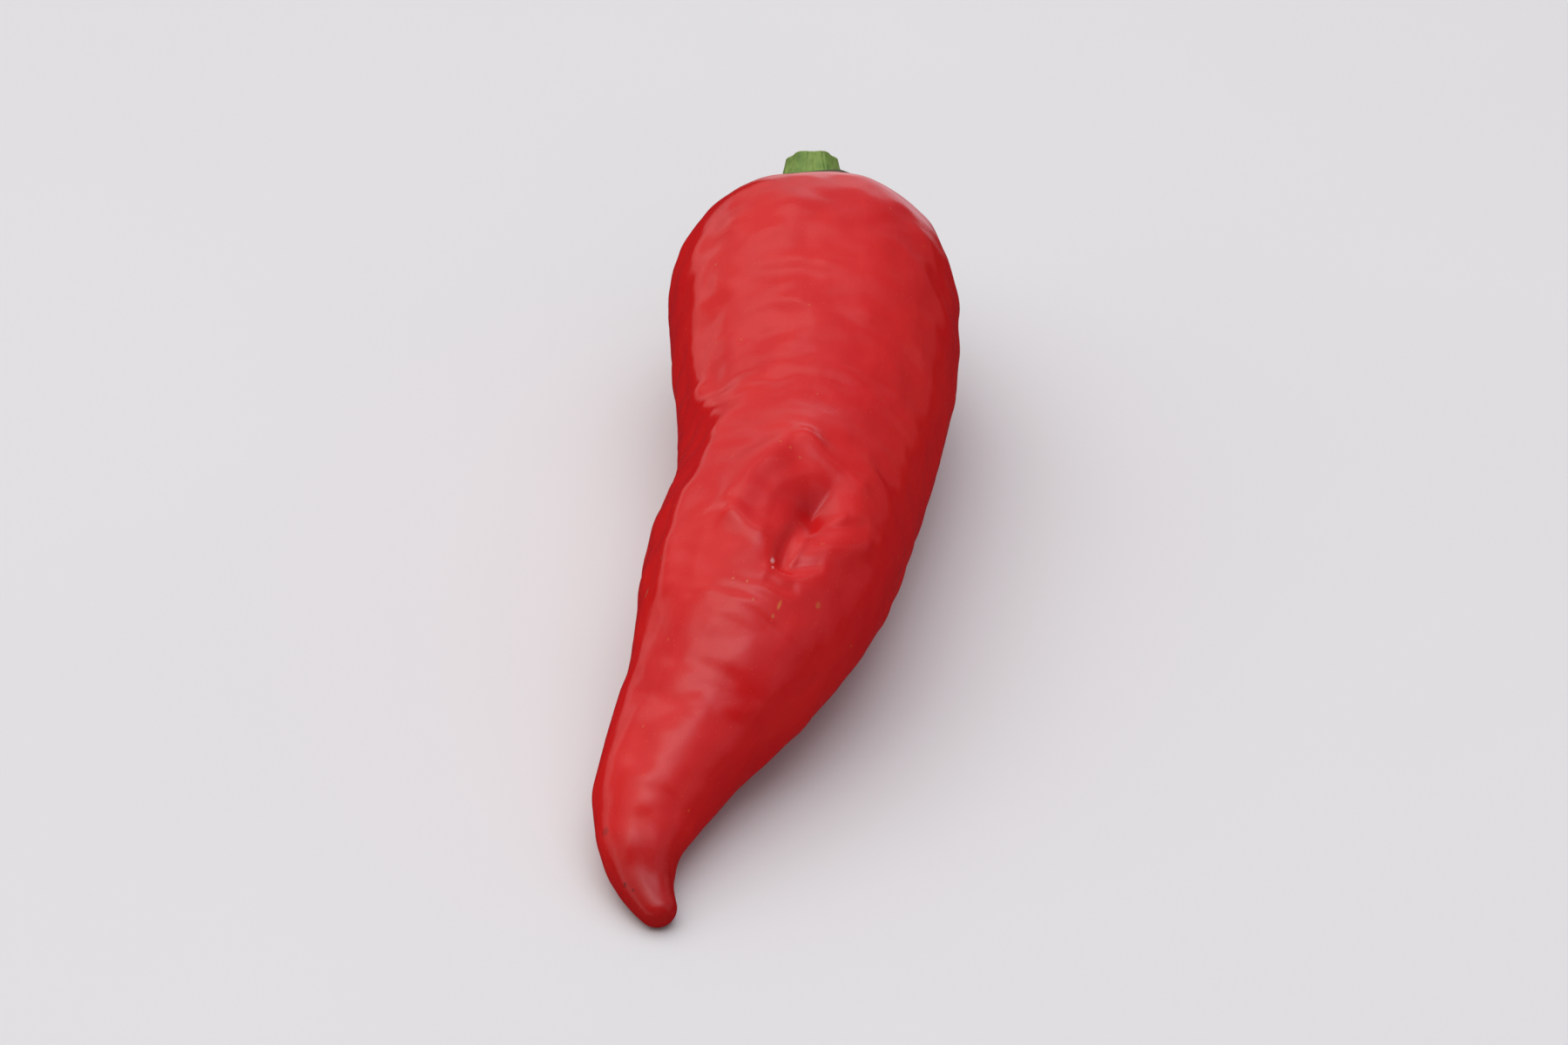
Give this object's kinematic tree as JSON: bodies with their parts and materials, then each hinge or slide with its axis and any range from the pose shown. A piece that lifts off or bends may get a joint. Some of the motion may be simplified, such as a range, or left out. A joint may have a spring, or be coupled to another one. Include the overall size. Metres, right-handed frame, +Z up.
{
  "type": "pointed sweet pepper",
  "caption": "Long tapering red sweet pepper with a hooked tip, a dented skin and a green calyx and stem, lying on its side.",
  "frame": {"origin": "on the surface that the pepper lies on, under the middle of its outline", "axes": "+Y along the pepper towards its stem, the tip towards -Y, +X to its right and +Z up, as it lies"},
  "size_m": [0.0532, 0.1564, 0.0417],
  "materials": {
    "skin": "smooth waxy red skin with a soft shine",
    "green": "matt green calyx and stem"
  },
  "bodies": {
    "root": {"fruit": "skin", "calyx_and_stem": "green"}
  },
  "joints": []
}
